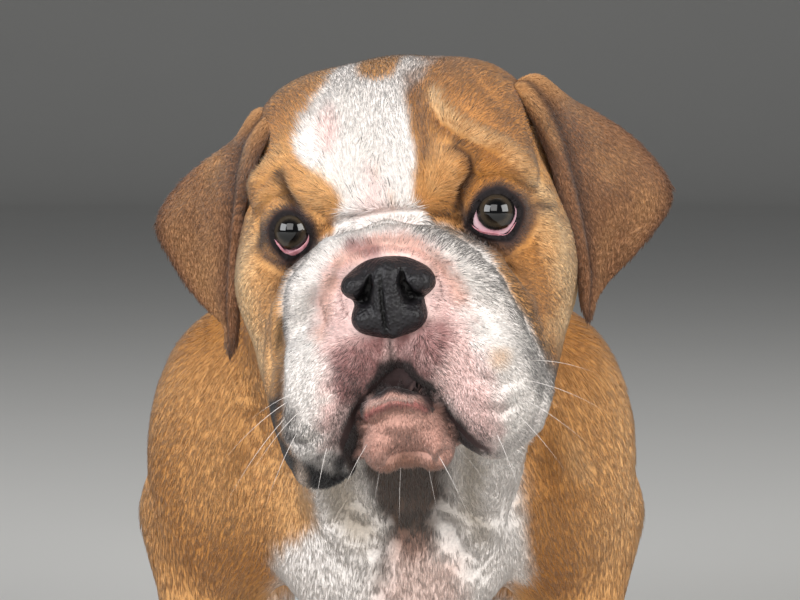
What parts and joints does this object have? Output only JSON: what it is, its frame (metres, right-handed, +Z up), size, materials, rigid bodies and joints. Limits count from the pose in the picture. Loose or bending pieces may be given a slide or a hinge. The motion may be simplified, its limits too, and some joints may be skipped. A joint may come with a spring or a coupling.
{
  "type": "english bulldog puppy",
  "caption": "Tan and white bulldog puppy standing on four paws with its head low and tilted; a still, life-size animal model.",
  "frame": {"origin": "centre of the bounding box in x and y, on the floor under the paws", "axes": "+Z up; the puppy faces -Y, so +Y runs from its face to its tail, and +X is its left side"},
  "size_m": [0.22, 0.4266, 0.3101],
  "materials": {
    "coat_tan": "short matt fur",
    "coat_white": "short matt fur",
    "coat_brown": "short matt fur",
    "lip_pink": "soft skin with sparse hair",
    "nose_leather": "moist and finely pebbled",
    "claw_horn": "satin horn",
    "eye_surface": "wet gloss"
  },
  "bodies": {
    "root": {"head": "coat_tan", "lower_jaw": "lip_pink", "nose": "nose_leather", "eye_left": "eye_surface", "eye_right": "eye_surface", "ear_left": "coat_brown", "ear_right": "coat_brown", "neck": "coat_white", "torso": "coat_tan", "tail": "coat_tan", "foreleg_left": "coat_tan", "foreleg_right": "coat_tan", "hindleg_left": "coat_tan", "hindleg_right": "coat_tan", "claw_fore_left_1": "claw_horn", "claw_fore_left_2": "claw_horn", "claw_fore_left_3": "claw_horn", "claw_fore_left_4": "claw_horn", "claw_fore_right_1": "claw_horn", "claw_fore_right_2": "claw_horn", "claw_fore_right_3": "claw_horn", "claw_fore_right_4": "claw_horn", "claw_hind_left_1": "claw_horn", "claw_hind_left_2": "claw_horn", "claw_hind_left_3": "claw_horn", "claw_hind_left_4": "claw_horn", "claw_hind_right_1": "claw_horn", "claw_hind_right_2": "claw_horn", "claw_hind_right_3": "claw_horn", "claw_hind_right_4": "claw_horn"}
  },
  "joints": []
}
